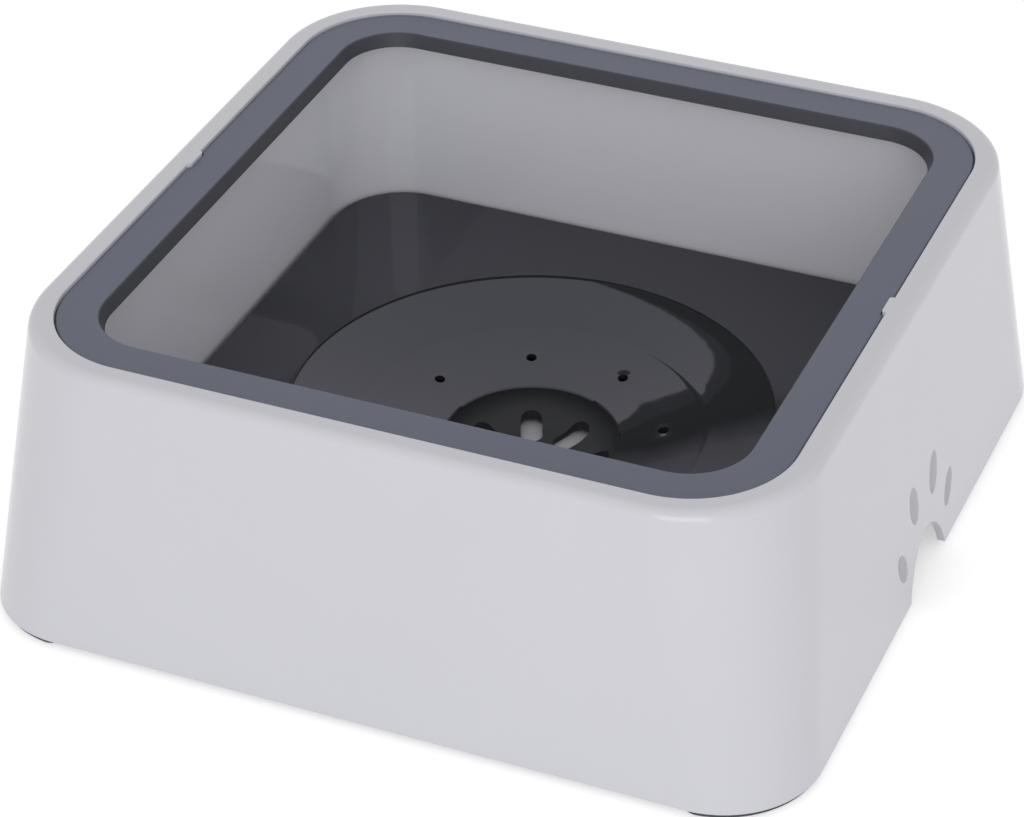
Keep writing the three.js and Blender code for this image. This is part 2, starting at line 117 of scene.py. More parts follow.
# Floating plate and the tray under it
PLATE_HALF = 105 * MM
PLATE_TOP = 29.3 * MM
PLATE_BOTTOM = 6.7 * MM
PLATE_SKIN = 1.8 * MM
PLATE_EDGE = 1.5 * MM
PLATE_RIM_BOTTOM = 21.3 * MM
PLATE_RIM_WALL = 2 * MM
DISH_RADIUS = 75.6 * MM
DISH_STEP = 0.7 * MM
DISH_STEP_RUN = 0.15 * MM
CREASE_RADIUS = 54.7 * MM
CREASE_RUN = 0.8 * MM
CREASE_SINK = 0.05 * MM
PIT_RIM_RADIUS = 27.4 * MM
DISH_SLOPES = (  # a radius and the dish's fall per length there, from the pit out to the edge
    (PIT_RIM_RADIUS, 0.125),
    (38 * MM, 0.15),
    (CREASE_RADIUS, 0.235),
    (CREASE_RADIUS, 0.251),
    (DISH_RADIUS, 0.309),
)
PIT_BREAK = 0.4 * MM
PIT_FLOOR_RADIUS = 16.5 * MM
SLOT_COUNT = 8
SLOT_WIDTH = 6.9 * MM
SLOT_CORNER = 3 * MM
SLOT_INNER = 11 * MM
SLOT_OUTER = 24.2 * MM
VENT_CIRCLE = 41 * MM
VENT_RADIUS = 1.7 * MM
VENT_SWELL_RADIUS = 5.5 * MM
VENT_SWELL = 0.1 * MM
TRAY_HALF = 102.7 * MM
TRAY_TOP = 27.2 * MM
TRAY_BORE = 50.2 * MM
TRAY_BORE_TOP = 19.6 * MM
TRAY_FILLET = 6 * MM
WELD_RIB_INNER = 52.3 * MM
WELD_RIB_WALL = 1.5 * MM
WELD_RIB_DEPTH = 4 * MM

# Feet
FOOT_TOP = 1.7 * MM
FOOT_WIDTH = 9 * MM
FOOT_RADIUS = 25 * MM  # of the strip's centre line
FOOT_SWEEP = 76  # degrees between the centres of the round ends
FOOT_EDGE = 0.5 * MM
WEB_TOP = 4.5 * MM
WEB_INNER = 18.5 * MM
WEB_OUTER = 29.25 * MM
PEG_CIRCLE = 24 * MM
PEG_SPACING = 27  # degrees
PEG_RADIUS = 2 * MM
PEG_HEAD_RADIUS = 2.9 * MM
PEG_TIP_RADIUS = 1.4 * MM
PEG_HEAD_BOTTOM = 4.8 * MM
PEG_TOP = 7.2 * MM
PEG_HOLE_RADIUS = 2.3 * MM

# Stage
FLOOR_SIZE = 8
FLOOR_DROP = 0.1 * MM  # below the feet, so that the two don't share a plane
FLOOR_GLOW = 0.44  # lifts the lit paper to white
SURROUND_LIGHT = 0.57
SOFT_BOX_PLACE = Vector((0.59, -1.77, 0.71))
SOFT_BOX_SIZE = 1.3
SOFT_BOX_POWER = 10.7  # watts
SENSOR_WIDTH = 36  # millimetres, as the lens is
LENS = 123.9
CAMERA_PLACE = Vector((348.3, -826.0, 645.6)) * MM
CAMERA_TURN = 23.24  # degrees round to the right
CAMERA_DOWN = 34.54
CAMERA_ROLL = -0.7

# Shaping and shading
CORNER_STEPS = 32  # segments in a quarter turn of a rounded square
CIRCLE_SIDES = 8 * (CORNER_STEPS + 1)
OVERRUN = 2 * MM  # how far a cutter passes what it cuts
SHARP = 32  # degrees between two faces, past which their edge stays sharp
PLATE_SHARP = 24
DRIFT_SIZE = 40 * MM  # of the patches in which a plastic's colour drifts
NOISE_LOW = 0.3  # nearly all of a noise lies between these two
NOISE_HIGH = 0.7

BASE_CENTRE = BASE_HALF - BASE_RADIUS
TOP_CENTRE = TOP_HALF - TOP_RADIUS


# Selecting and shaping


def pick(kind, test):
    """Selects what passes the test in the mesh being edited, and nothing else."""
    bpy.ops.mesh.select_mode(type=kind)
    bpy.ops.mesh.select_all(action="DESELECT")
    data = bpy.context.edit_object.data
    mesh = bmesh.from_edit_mesh(data)
    for item in {"VERT": mesh.verts, "EDGE": mesh.edges, "FACE": mesh.faces}[kind]:
        if test(item):
            item.select_set(True)
    mesh.select_flush_mode()
    bmesh.update_edit_mesh(data)


def points(item):
    return [vertex.co for vertex in getattr(item, "verts", [item])]


def level(item, z):
    return all(abs(point.z - z) < SAME for point in points(item))


def square_half(point, centre):
    """Half width of the rounded square with this corner centre that goes through a point."""
    x, y = abs(point.x), abs(point.y)
    if x > centre and y > centre:
        return centre + math.hypot(x - centre, y - centre)
    return max(x, y)


def on_square(item, half, centre, z):
    return level(item, z) and all(
        abs(square_half(point, centre) - half) < SAME for point in points(item)
    )


def on_circle(item, radius, z):
    return level(item, z) and all(
        abs(math.hypot(point.x, point.y) - radius) < SAME for point in points(item)
    )


def pick_cap(z, half=None):
    """Selects the flat many-sided face at a height."""
    pick(
        "FACE",
        lambda face: len(face.verts) > 4
        and level(face, z)
        and (half is None or max(point.x for point in points(face)) < half + SAME),
    )


def start(adder, name, **place):
    """Adds a primitive as a new object, and opens its mesh."""
    if bpy.context.mode != "OBJECT":
        bpy.ops.object.mode_set(mode="OBJECT")
    bpy.ops.object.select_all(action="DESELECT")
    adder(**place)
    piece = bpy.context.active_object
    piece.name = piece.data.name = name
    bpy.ops.object.transform_apply(location=True, rotation=True, scale=True)
    bpy.ops.object.mode_set(mode="EDIT")
    return piece


def close_mesh():
    """Welds the mesh being edited, turns its faces outwards and leaves edit mode."""
    bpy.ops.mesh.select_all(action="SELECT")
    bpy.ops.mesh.remove_doubles(threshold=SAME / 4)
    bpy.ops.mesh.normals_make_consistent(inside=False)
    if bmesh.from_edit_mesh(bpy.context.edit_object.data).calc_volume(signed=True) < 0:
        bpy.ops.mesh.flip_normals()
    bpy.ops.object.mode_set(mode="OBJECT")


def round_square_corners(radius, z):
    pick("VERT", lambda vertex: level(vertex, z) and len(vertex.link_edges) == 2)
    bpy.ops.mesh.bevel(
        offset_type="OFFSET", offset=radius, segments=CORNER_STEPS, affect="VERTICES"
    )


def start_square(name, half, radius, z):
    piece = start(bpy.ops.mesh.primitive_plane_add, name, size=2 * half, location=(0, 0, z))
    round_square_corners(radius, z)
    return piece


def add_square(half, radius, z):
    """Adds a rounded square outline to the mesh being edited."""
    bpy.ops.mesh.select_all(action="DESELECT")
    bpy.ops.mesh.primitive_plane_add(size=2 * half, location=(0, 0, z))
    round_square_corners(radius, z)
    pick_cap(z, half)
    bpy.ops.mesh.delete(type="ONLY_FACE")


def add_circle(radius, z):
    bpy.ops.mesh.select_all(action="DESELECT")
    bpy.ops.mesh.primitive_circle_add(
        vertices=CIRCLE_SIDES,
        radius=radius,
        fill_type="NOTHING",
        location=(0, 0, z),
        rotation=(0, 0, TURN / CIRCLE_SIDES / 2),
    )


def bridge(first, second):
    """Joins two open outlines with a band of faces."""
    pick("EDGE", lambda edge: first(edge) or second(edge))
    bpy.ops.mesh.bridge_edge_loops()


def fill_between(first, second):
    """Fills the flat band between two open outlines that lie one inside the other."""
    pick("EDGE", lambda edge: first(edge) or second(edge))
    bpy.ops.mesh.fill(use_beauty=True)


def cap(outline):
    """Closes an open outline with one face, which stays selected."""
    pick("EDGE", outline)
    bpy.ops.mesh.edge_face_add()
    bpy.ops.mesh.select_mode(type="FACE")


def step(inward, rise):
    """Takes the selected flat face inwards and up or down, with a wall left round it."""
    if inward == 0:
        bpy.ops.mesh.extrude_region_move(TRANSFORM_OT_translate={"value": (0, 0, rise)})
        return
    data = bpy.context.edit_object.data
    face = next(face for face in bmesh.from_edit_mesh(data).faces if face.select)
    bpy.ops.mesh.inset(thickness=inward, depth=math.copysign(1, face.normal.z) * rise)


def steps(*moves):
    for inward, rise in moves:
        step(inward, rise)


def round_edges(test, radius, segments):
    pick("EDGE", test)
    bpy.ops.mesh.bevel(
        offset_type="OFFSET",
        offset=radius,
        segments=segments,
        affect="EDGES",
        clamp_overlap=False,
    )


def modify(piece, kind, **settings):
    """Adds a modifier to a piece and applies it."""
    bpy.ops.object.select_all(action="DESELECT")
    piece.select_set(True)
    bpy.context.view_layer.objects.active = piece
    modifier = piece.modifiers.new(kind.lower(), kind)
    for name, value in settings.items():
        setattr(modifier, name, value)
    bpy.ops.object.modifier_apply(modifier=modifier.name)


def combine(piece, tools, operation):
    """Cuts tools out of a piece, or joins them to it, and uses them up."""
    bpy.ops.object.select_all(action="DESELECT")
    for tool in tools:
        tool.select_set(True)
    bpy.context.view_layer.objects.active = tools[0]
    if len(tools) > 1:
        bpy.ops.object.join()
    tool = bpy.context.active_object
    modify(piece, "BOOLEAN", operation=operation, solver="EXACT", object=tool)
    bpy.data.objects.remove(tool)


def copy_of(piece, matrix, name=None):
    copy = piece.copy()
    copy.data = piece.data.copy()
    if name:
        copy.name = copy.data.name = name
    bpy.context.collection.objects.link(copy)
    copy.data.transform(matrix)
    return copy


def turned(piece, degrees, name=None):
    return copy_of(piece, Matrix.Rotation(math.radians(degrees), 4, "Z"), name)


def all_round(piece, count, first=0):
    """The piece and its copies round the axis, the first one turned as well."""
    copies = [turned(piece, first + i * 360 / count) for i in range(count)]
    bpy.data.objects.remove(piece)
    return copies


def block(name, low, high):
    """A box from its lowest to its highest corner, with its mesh left open for shaping."""
    low, high = Vector(low), Vector(high)
    return start(
        bpy.ops.mesh.primitive_cube_add,
        name,
        size=1,
        location=(low + high) / 2,
        scale=high - low,
    )


def upright(edge):
    a, b = points(edge)
    return (a - b).xy.length < SAME


# Shell


def skirt_half(z):
    share = (z - SKIRT_BOTTOM) / (RIM_TOP - SKIRT_BOTTOM)
    return BASE_HALF + (TOP_HALF - BASE_HALF) * share


SIDE_SLOPE = (BASE_HALF - TOP_HALF) / (RIM_TOP - SKIRT_BOTTOM)


def make_shell():
    hollow_top = RIM_TOP - SHELL_WALL
    inner_half = skirt_half(hollow_top) - SHELL_WALL
    recess_outer = RECESS_HALF + RECESS_WALL

    piece = start_square("shell", BASE_HALF, BASE_RADIUS, SKIRT_BOTTOM)
    pick_cap(SKIRT_BOTTOM)
    bpy.ops.mesh.delete(type="ONLY_FACE")
    add_square(TOP_HALF, TOP_RADIUS, RIM_TOP)
    base = lambda edge: on_square(edge, BASE_HALF, BASE_CENTRE, SKIRT_BOTTOM)
    rim = lambda edge: on_square(edge, TOP_HALF, TOP_CENTRE, RIM_TOP)
    bridge(base, rim)

    cap(rim)
    steps(
        (TOP_HALF - RECESS_HALF, 0),
        (0, LEDGE_TOP - RIM_TOP),
        (RECESS_HALF - LEDGE_HALF, 0),
        (0, LEDGE_BOTTOM - LEDGE_TOP),
    )
    bpy.ops.mesh.delete(type="ONLY_FACE")

    cap(base)
    step(SHELL_WALL, 0)
    bpy.ops.mesh.delete(type="ONLY_FACE")
    add_square(inner_half, inner_half - TOP_CENTRE, hollow_top)
    ceiling = lambda edge: on_square(edge, inner_half, TOP_CENTRE, hollow_top)
    bridge(
        lambda edge: on_square(edge, BASE_HALF - SHELL_WALL, BASE_CENTRE, SKIRT_BOTTOM),
        ceiling,
    )
    cap(ceiling)
    steps(
        (inner_half - recess_outer, 0),
        (0, LEDGE_BOTTOM - hollow_top),
        (recess_outer - LEDGE_HALF, 0),
    )
    bpy.ops.mesh.delete(type="ONLY_FACE")
    bpy.ops.mesh.select_all(action="SELECT")
    bpy.ops.mesh.remove_doubles(threshold=SEAM)
    round_edges(rim, RIM_FILLET, 8)
    round_edges(
        lambda edge: on_square(edge, RECESS_HALF, TOP_CENTRE, RIM_TOP), RIM_BREAK, 3
    )
    close_mesh()

    combine(piece, make_tongues() + make_gussets() + make_webs(), "UNION")
    combine(piece, make_pads() + make_toes() + make_peg_holes(), "DIFFERENCE")
    return piece


def tongue(gap, low, high):
    """A rounded tongue on the right side of the rim, or its notch when it has a gap."""
    half = TONGUE_LENGTH / 2 + gap
    tip = RECESS_HALF - TONGUE_REACH - gap
    piece = block("tongue", (tip, -half, low), (RECESS_HALF + EMBED, half, high))
    pick("EDGE", lambda edge: upright(edge) and abs(points(edge)[0].x - tip) < SAME)
    bpy.ops.mesh.bevel(offset=TONGUE_CORNER, segments=6, affect="EDGES")
    close_mesh()
    return piece


def make_tongues():
    return all_round(tongue(0, TONGUE_BOTTOM, RIM_TOP), 2)


def make_gussets():
    """Stiffeners between the ledge and the skirt, trimmed to the lean of the skirt."""
    half = GUSSET_THICKNESS / 2
    top = LEDGE_BOTTOM + EMBED
    outer = skirt_half(GUSSET_FOOT) - SHELL_WALL + EMBED
    plate = block("gusset", (GUSSET_INNER, -half, GUSSET_FOOT), (outer, half, top))
    bpy.ops.mesh.select_all(action="SELECT")
    bpy.ops.mesh.bisect(
        plane_co=(outer, 0, GUSSET_FOOT),
        plane_no=(1, 0, SIDE_SLOPE),
        clear_outer=True,
        use_fill=True,
    )
    bpy.ops.mesh.select_all(action="SELECT")
    bpy.ops.mesh.bisect(
        plane_co=(outer, 0, GUSSET_FOOT),
        plane_no=(GUSSET_FOOT - GUSSET_KNEE, 0, GUSSET_INNER - outer),
        clear_outer=True,
        use_fill=True,
    )
    close_mesh()
    gussets = []
    for side in (0, 90, 180, 270):
        for along in (-GUSSET_SPACING, 0, GUSSET_SPACING):
            if along == 0 and side in (0, 180):
                continue
            move = Matrix.Rotation(math.radians(side), 4, "Z") @ Matrix.Translation((0, along, 0))
            gussets.append(copy_of(plate, move))
    bpy.data.objects.remove(plate)
    return gussets


def corner_strip(name, inner, outer, low, high, sweep):
    """A strip round the base's right rear corner, with round ends."""
    middle = Vector((BASE_CENTRE, BASE_CENTRE, low))
    piece = start(
        bpy.ops.mesh.primitive_circle_add,
        name,
        vertices=96,
        radius=outer,
        fill_type="NGON",
        location=middle,
    )
    pick("FACE", lambda face: True)
    bpy.ops.mesh.inset(thickness=outer - inner)
    bpy.ops.mesh.delete(type="FACE")
    for side in (-1, 1):
        angle = TURN / 8 + side * math.radians(sweep / 2)
        outward = Vector((math.cos(angle), math.sin(angle), 0))
        bpy.ops.mesh.select_all(action="SELECT")
        bpy.ops.mesh.bisect(
            plane_co=middle,
            plane_no=(-side * outward.y, side * outward.x, 0),
            clear_outer=True,
        )
        on_cut = lambda edge: all(
            abs((point - middle).cross(outward).z) < SAME and (point - middle).dot(outward) > 0
            for point in points(edge)
        )
        pick("EDGE", on_cut)
        bpy.ops.mesh.subdivide()
        half_way = middle + outward * (inner + outer) / 2
        pick(
            "EDGE",
            lambda edge: on_cut(edge) and sum(points(edge), -2 * half_way).dot(outward) > 0,
        )
        bpy.ops.mesh.spin(steps=20, angle=TURN / 2, center=half_way, axis=(0, 0, -side))
    bpy.ops.mesh.select_all(action="SELECT")
    bpy.ops.mesh.remove_doubles(threshold=SEAM)
    bpy.ops.mesh.extrude_region_move(TRANSFORM_OT_translate={"value": (0, 0, high - low)})
    close_mesh()
    return piece


def make_webs():
    """Shelves inside the corners of the skirt that carry the feet."""
    web = corner_strip("web", WEB_INNER, WEB_OUTER, SKIRT_BOTTOM, WEB_TOP, FOOT_SWEEP)
    return all_round(web, 4)


def at_pegs(piece):
    """Copies of a piece made at the base's corner centre, one at each peg of that corner."""
    copies = []
    for place in (-1, 0, 1):
        angle = TURN / 8 + math.radians(place * PEG_SPACING)
        out = Vector((math.cos(angle), math.sin(angle), 0)) * PEG_CIRCLE
        copies.append(copy_of(piece, Matrix.Translation(out)))
    bpy.data.objects.remove(piece)
    return copies


def pin(name, radius, low, high, sides=24):
    return start(
        bpy.ops.mesh.primitive_cylinder_add,
        name,
        vertices=sides,
        radius=radius,
        depth=high - low,
        location=(BASE_CENTRE, BASE_CENTRE, (low + high) / 2),
    )


def make_peg_holes():
    hole = pin("peg_hole", PEG_HOLE_RADIUS, SKIRT_BOTTOM - OVERRUN, WEB_TOP + OVERRUN)
    close_mesh()
    return [copy for peg in at_pegs(hole) for copy in all_round(peg, 4)]


def make_pads():
    """The pad of the paw: an arch through the skirt on the right and the left."""
    bpy.ops.object.select_all(action="DESELECT")
    bpy.ops.curve.primitive_bezier_curve_add()
    arch = bpy.context.active_object
    arch.data.dimensions = "2D"
    arch.data.resolution_u = 24
    spline = arch.data.splines[0]
    spline.bezier_points.add(3)
    low_x, low_y = PAD_HALF * PAD_LOW[0], PAD_HEIGHT * PAD_LOW[1]
    high_x = PAD_HALF * PAD_HIGH
    below = -OVERRUN
    outline = (
        ((-PAD_HALF, below), (0, below), (-PAD_HALF, 0)),
        ((-PAD_HALF, 0), (-PAD_HALF, below), (-low_x, low_y)),
        ((0, PAD_HEIGHT), (-high_x, PAD_HEIGHT), (high_x, PAD_HEIGHT)),
        ((PAD_HALF, 0), (low_x, low_y), (PAD_HALF, below)),
        ((PAD_HALF, below), (PAD_HALF, 0), (0, below)),
    )
    for point, (place, left, right) in zip(spline.bezier_points, outline):
        point.handle_left_type = point.handle_right_type = "FREE"
        point.co = (*place, 0)
        point.handle_left = (*left, 0)
        point.handle_right = (*right, 0)
    spline.use_cyclic_u = True
    arch.data.fill_mode = "BOTH"
    arch.data.extrude = SHELL_WALL + OVERRUN
    bpy.ops.object.convert(target="MESH")
    arch = bpy.context.active_object
    bpy.ops.object.mode_set(mode="EDIT")
    close_mesh()
    sideways = Matrix(((0, 0, 1), (1, 0, 0), (0, 1, 0))).to_4x4()
    place = Matrix.Translation((BASE_HALF - SHELL_WALL, 0, SKIRT_BOTTOM)) @ sideways
    arch.data.transform(arch.matrix_world)
    arch.matrix_world = Matrix.Identity(4)
    arch.data.transform(place)
    return all_round(arch, 2)


def make_toes():
    """The toes of the paw: shallow dents, each the side of an ellipsoid."""
    out = TOE_BULGE - TOE_DEPTH
    widening = math.sqrt(1 - (out / TOE_BULGE) ** 2)
    lean = math.atan(SIDE_SLOPE)
    toes = []
    for across, up, size, tilt in TOES:
        for side in (-1, 1):
            z = SKIRT_BOTTOM + PAD_HEIGHT * up
            toe = start(
                bpy.ops.mesh.primitive_uv_sphere_add,
                "toe",
                segments=48,
                ring_count=32,
                radius=1,
                scale=(
                    TOE_BULGE,
                    TOE_WIDTH * size / 2 / widening,
                    TOE_LENGTH * size / 2 / widening,
                ),
            )
            close_mesh()
            toe.data.transform(
                Matrix.Translation((skirt_half(z) + out, side * PAD_HALF * across, z))
                @ Matrix.Rotation(-lean, 4, "Y")
                @ Matrix.Rotation(-side * math.radians(tilt), 4, "X")
            )
            toes += all_round(toe, 2)
    return toes


# Basin


def make_basin():
    piece = start_square("basin", FLANGE_HALF, FLANGE_HALF - TOP_CENTRE, FLANGE_BOTTOM)
    pick_cap(FLANGE_BOTTOM)
    step(0, FLANGE_TOP - FLANGE_BOTTOM)
    pick_cap(FLANGE_TOP)
    steps((FLANGE_HALF - BASIN_HALF, 0), (BASIN_DRAFT, BASIN_FLOOR - FLANGE_TOP))
    pick_cap(FLANGE_BOTTOM)
    steps(
        (FLANGE_HALF - BASIN_OUTER_HALF, 0),
        (BASIN_DRAFT, BASIN_UNDERSIDE - FLANGE_BOTTOM),
    )
    floor_half = BASIN_HALF - BASIN_DRAFT
    under_half = BASIN_OUTER_HALF - BASIN_DRAFT
    round_edges(
        lambda edge: on_square(edge, floor_half, TOP_CENTRE, BASIN_FLOOR), BASIN_FILLET, 10
    )
    round_edges(
        lambda edge: on_square(edge, under_half, TOP_CENTRE, BASIN_UNDERSIDE),
        BASIN_OUTER_FILLET,
        10,
    )
    round_edges(
        lambda edge: on_square(edge, BASIN_HALF, TOP_CENTRE, FLANGE_TOP), BASIN_BREAK, 4
    )
    close_mesh()
    combine(piece, make_ribs(), "UNION")
    return piece


def make_ribs():
    """Stiffening under the floor: a hub, a hoop and eight spokes, joined into one solid."""
    low, high = BASIN_UNDERSIDE - RIB_DEPTH, BASIN_UNDERSIDE + EMBED
    half = RIB_WIDTH / 2
    hub = start(
        bpy.ops.mesh.primitive_cylinder_add,
        "hub",
        vertices=64,
        radius=RIB_HUB,
        depth=high - low,
        location=(0, 0, (low + high) / 2),
    )
    close_mesh()
    hoop = start(
        bpy.ops.mesh.primitive_circle_add,
        "hoop",
        vertices=96,
        radius=RIB_CIRCLE + half,
        fill_type="NGON",
        location=(0, 0, low),
    )
    pick("FACE", lambda face: True)
    bpy.ops.mesh.inset(thickness=RIB_WIDTH)
    bpy.ops.mesh.delete(type="FACE")
    bpy.ops.mesh.select_all(action="SELECT")
    bpy.ops.mesh.extrude_region_move(TRANSFORM_OT_translate={"value": (0, 0, high - low)})
    close_mesh()
    spoke = block("spoke", (RIB_HUB - RIB_WIDTH, -half, low), (RIB_REACH, half, high))
    close_mesh()
    combine(hub, all_round(spoke, 8), "UNION")
    combine(hub, [hoop], "UNION")
    return [hub]


# Splash ring


def make_ring():
    piece = start_square("ring", FLANGE_HALF, FLANGE_HALF - TOP_CENTRE, RING_UNDERSIDE)
    pick_cap(RING_UNDERSIDE)
    step(0, RING_TOP - RING_UNDERSIDE)
    opening = FLANGE_HALF - RING_FACE
    pick_cap(RING_TOP)
    steps((RING_FACE, 0), (LIP_LEAN, LIP_BOTTOM - RING_TOP))
    bpy.ops.mesh.delete(type="ONLY_FACE")
    pick_cap(RING_UNDERSIDE)
    steps(
        (FLANGE_HALF - SPIGOT_HALF, 0),
        (0, SPIGOT_BOTTOM - RING_UNDERSIDE),
        (SPIGOT_WALL, 0),
        (0, RING_UNDERSIDE - SPIGOT_BOTTOM),
        (SPIGOT_HALF - SPIGOT_WALL - opening - LIP_WALL, 0),
        (LIP_LEAN, LIP_BOTTOM - RING_UNDERSIDE),
        (LIP_WALL, 0),
    )
    bpy.ops.mesh.delete(type="ONLY_FACE")
    bpy.ops.mesh.select_all(action="SELECT")
    bpy.ops.mesh.remove_doubles(threshold=SAME)
    round_edges(
        lambda edge: on_square(edge, FLANGE_HALF, TOP_CENTRE, RING_TOP), RING_EDGE, 5
    )
    round_edges(
        lambda edge: on_square(edge, opening, TOP_CENTRE, RING_TOP), RING_EDGE, 5
    )
    close_mesh()
    notch = tongue(RING_GAP, RING_UNDERSIDE - OVERRUN, RING_TOP + OVERRUN)
    combine(piece, all_round(notch, 2), "DIFFERENCE")
    return piece


# Floating plate


def dish_height(radius):
    """The dish's surface at a radius: it falls from the edge ever less steeply, and bends
    at the crease."""
    height = PLATE_TOP - DISH_STEP
    for (inner, low), (outer, high) in zip(DISH_SLOPES, DISH_SLOPES[1:]):
        reached = max(inner, radius)
        if outer > reached:
            slope = low + (high - low) * (reached - inner) / (outer - inner)
            height -= (outer - reached) * (slope + high) / 2
    return height


CREASE = dish_height(CREASE_RADIUS)
PIT_RIM = dish_height(PIT_RIM_RADIUS)


def dish_moves(outer, inner, count):
    """Moves down the dish's surface from one radius in to another."""
    radii = [outer + (inner - outer) * i / count for i in range(count + 1)]
    return [(a - b, dish_height(b) - dish_height(a)) for a, b in zip(radii, radii[1:])]


def pit_moves(rim, floor, count):
    """Moves down the pit's wall, which curves from upright at its rim to level at its floor."""
    run = PIT_RIM_RADIUS - PIT_FLOOR_RADIUS
    place = [
        (run * (1 - math.cos(a)), (floor - rim) * math.sin(a))
        for a in (i / count * TURN / 4 for i in range(count + 1))
    ]
    return [(b[0] - a[0], b[1] - a[1]) for a, b in zip(place, place[1:])]


def make_plate():
    centre = TOP_CENTRE
    piece = start_square("plate", PLATE_HALF, PLATE_HALF - centre, PLATE_RIM_BOTTOM)
    pick_cap(PLATE_RIM_BOTTOM)
    step(0, PLATE_TOP - PLATE_RIM_BOTTOM)
    round_edges(
        lambda item: on_square(item, PLATE_HALF, centre, PLATE_TOP), PLATE_EDGE, 5
    )

    # Above: flange, dish and pit
    flange_half = PLATE_HALF - PLATE_EDGE
    pick_cap(PLATE_TOP)
    bpy.ops.mesh.delete(type="ONLY_FACE")
    add_circle(DISH_RADIUS, PLATE_TOP)
    edge = lambda item: on_circle(item, DISH_RADIUS, PLATE_TOP)
    fill_between(lambda item: on_square(item, flange_half, centre, PLATE_TOP), edge)
    cap(edge)
    dish_edge = DISH_RADIUS - DISH_STEP_RUN
    pit_edge = PIT_RIM_RADIUS + PIT_BREAK
    pit_top = PIT_RIM - PIT_BREAK
    pit_floor = PLATE_BOTTOM + PLATE_SKIN
    steps(
        (DISH_STEP_RUN, dish_height(dish_edge) - PLATE_TOP),
        *dish_moves(dish_edge, CREASE_RADIUS + CREASE_RUN, 7),
        (CREASE_RUN, CREASE - CREASE_SINK - dish_height(CREASE_RADIUS + CREASE_RUN)),
        (CREASE_RUN, dish_height(CREASE_RADIUS - CREASE_RUN) - CREASE + CREASE_SINK),
        *dish_moves(CREASE_RADIUS - CREASE_RUN, VENT_CIRCLE, 13),
        *dish_moves(VENT_CIRCLE, pit_edge, 15),
        (PIT_BREAK, pit_top - dish_height(pit_edge)),
        *pit_moves(pit_top, pit_floor, 18),
    )
    raise_vents()

    # Below: rim, underside of the dish, weld rib and pit
    flange_underside = PLATE_TOP - PLATE_SKIN
    under_radius = DISH_RADIUS + PLATE_SKIN
    rib_outer = WELD_RIB_INNER + WELD_RIB_WALL
    pit_outer = PIT_RIM_RADIUS + PLATE_SKIN
    pick_cap(PLATE_RIM_BOTTOM)
    steps((PLATE_RIM_WALL, 0), (0, flange_underside - PLATE_RIM_BOTTOM))
    bpy.ops.mesh.delete(type="ONLY_FACE")
    add_circle(under_radius, flange_underside)
    under = lambda item: on_circle(item, under_radius, flange_underside)
    inner = PLATE_HALF - PLATE_RIM_WALL
    fill_between(lambda item: on_square(item, inner, centre, flange_underside), under)
    cap(under)
    inner_height = dish_height(WELD_RIB_INNER) - PLATE_SKIN
    outer_height = dish_height(rib_outer) - PLATE_SKIN
    steps(
        (under_radius - CREASE_RADIUS, CREASE - PLATE_TOP),
        (CREASE_RADIUS - rib_outer, outer_height - CREASE + PLATE_SKIN),
        (0, inner_height - WELD_RIB_DEPTH - outer_height),
        (WELD_RIB_WALL, 0),
        (0, WELD_RIB_DEPTH),
        *dish_moves(WELD_RIB_INNER, pit_outer, 6),
        (0, PIT_RIM - dish_height(pit_outer)),
        *pit_moves(PIT_RIM - PLATE_SKIN, PLATE_BOTTOM, 10),
    )
    close_mesh()
    combine(piece, make_slots() + make_vents(), "DIFFERENCE")
    return piece


def make_slots():
    """Eight slots from the pit's floor up into its wall."""
    half = SLOT_WIDTH / 2
    slot = block(
        "slot", (SLOT_INNER, -half, PLATE_BOTTOM - OVERRUN), (SLOT_OUTER, half, PLATE_TOP)
    )
    pick("EDGE", upright)
    bpy.ops.mesh.bevel(offset=SLOT_CORNER, segments=8, affect="EDGES", clamp_overlap=False)
    close_mesh()
    return all_round(slot, SLOT_COUNT, 180 / SLOT_COUNT)


def raise_vents():
    """Drags the dish up a little at each vent, as a moulding stands proud round its pins."""
    turn = TURN / SLOT_COUNT
    centres = [
        Vector((math.cos((i + 0.5) * turn), math.sin((i + 0.5) * turn))) * VENT_CIRCLE
        for i in range(SLOT_COUNT)
    ]
    pick("VERT", lambda item: any((item.co.xy - centre).length < SAME for centre in centres))
    bpy.ops.transform.translate(
        value=(0, 0, VENT_SWELL),
        use_proportional_edit=True,
        proportional_edit_falloff="SMOOTH",
        proportional_size=VENT_SWELL_RADIUS,
    )


def make_vents():
    """Eight small plain holes, square to the slope of the dish."""
    vent = start(
        bpy.ops.mesh.primitive_cylinder_add,
        "vent",
        vertices=48,
        radius=VENT_RADIUS,
        depth=PLATE_SKIN + 2 * OVERRUN,
        location=(0, 0, -PLATE_SKIN / 2),
    )
    close_mesh()
    slope = math.atan2(CREASE - PIT_RIM, CREASE_RADIUS - PIT_RIM_RADIUS)
    vent.data.transform(
        Matrix.Translation((VENT_CIRCLE, 0, dish_height(VENT_CIRCLE)))
        @ Matrix.Rotation(-slope, 4, "Y")
    )
    return all_round(vent, SLOT_COUNT, 180 / SLOT_COUNT)


